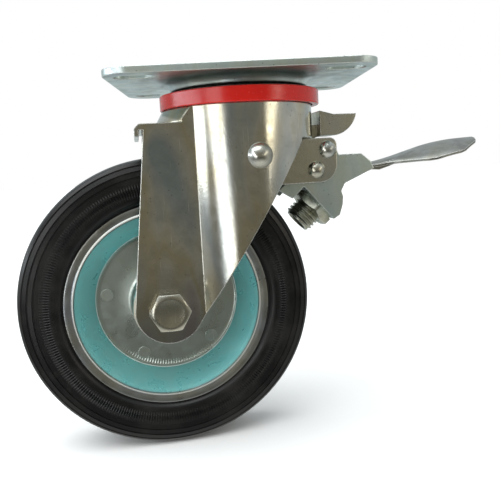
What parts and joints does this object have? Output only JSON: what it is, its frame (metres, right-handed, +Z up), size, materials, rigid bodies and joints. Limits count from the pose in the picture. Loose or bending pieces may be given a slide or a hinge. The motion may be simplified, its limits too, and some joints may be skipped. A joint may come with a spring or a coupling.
{
  "type": "swivel plate caster",
  "caption": "Swivel plate caster with a rubber-tyred pressed steel wheel, ball-race swivel head and a foot pedal that brakes the wheel and locks the swivel.",
  "frame": {"origin": "centre of the top plate's upper face, on the swivel axis", "axes": "+Z up out of the top plate's mounting face, X along the plate's length, Y across it; at rest the fork stands turned 7.6 degrees about Z, with its pedal towards +X and its wheel trailing towards -X"},
  "size_m": [0.2676, 0.11, 0.202],
  "materials": {
    "zinc_plated_plate": "bright zinc plate",
    "zinc_plated_fork": "bright zinc plate",
    "zinc_plated_brake": "bright zinc plate",
    "zinc_plated_pedal": "bright zinc plate",
    "zinc_plated_rim": "blue-passivated zinc plate",
    "zinc_plated_hub": "blue-passivated zinc plate",
    "zinc_plated_fastener": "zinc plate",
    "threaded_steel": "dull zinc plate",
    "hardened_steel": "ground, greased",
    "spring_steel": "dark, oiled",
    "red_plastic": "satin red",
    "nylon": "matte dark grey",
    "black_rubber": "moulded black rubber"
  },
  "bodies": {
    "plate": {"top_plate": "zinc_plated_plate", "upper_race": "hardened_steel", "king_bolt": "zinc_plated_fastener", "king_sleeve": "zinc_plated_fastener", "lower_race": "hardened_steel", "swivel_lock_ring": "hardened_steel", "king_nut": "zinc_plated_fastener"},
    "fork": {"fork": "zinc_plated_fork", "upper_balls": "hardened_steel", "lower_balls": "hardened_steel", "dust_seal": "red_plastic", "brake_bracket": "zinc_plated_brake", "bracket_rivets": "zinc_plated_fastener", "pedal_pin": "zinc_plated_fastener", "lock_pin": "zinc_plated_fastener", "axle_sleeve": "zinc_plated_fastener", "axle_bolt": "zinc_plated_fastener", "axle_washer": "zinc_plated_fastener", "axle_nut": "zinc_plated_fastener", "lock_spring": "spring_steel", "pedal_spring": "spring_steel"},
    "wheel": {"tyre": "black_rubber", "rim_near": "zinc_plated_rim", "rim_far": "zinc_plated_rim", "rim_rivets": "zinc_plated_rim", "hub_tube": "zinc_plated_hub", "roller_cage": "nylon", "rollers": "hardened_steel", "thread_guard_near": "nylon", "thread_guard_far": "nylon"},
    "pedal": {"brake_pedal": "zinc_plated_pedal", "pedal_blade": "zinc_plated_pedal", "brake_stud": "threaded_steel", "stud_nut": "zinc_plated_fastener"},
    "swivel_lock": {"swivel_lock_lever": "zinc_plated_brake"}
  },
  "joints": [
    {"name": "swivel", "type": "hinge", "parent": "plate", "child": "fork", "pos_m": [0, 0, 0], "axis": [0, 0, 1], "continuous": true},
    {"name": "wheel_spin", "type": "hinge", "parent": "fork", "child": "wheel", "pos_m": [-0.04758, -0.00635, -0.122], "axis": [-0.1323, 0.9912, 0], "continuous": true},
    {"name": "brake_pedal_press", "type": "hinge", "parent": "fork", "child": "pedal", "pos_m": [0.04391, 0.00586, -0.0428], "axis": [-0.1323, 0.9912, 0], "range_deg": [0, 16]},
    {"name": "swivel_lock_press", "type": "hinge", "parent": "fork", "child": "swivel_lock", "pos_m": [0.03727, 0.00497, -0.0535], "axis": [-0.1323, 0.9912, 0], "range_deg": [-5.6, 0]}
  ],
  "couplings": [
    {"joint": "swivel_lock_press", "follows": "brake_pedal_press", "ratio": -0.35}
  ]
}
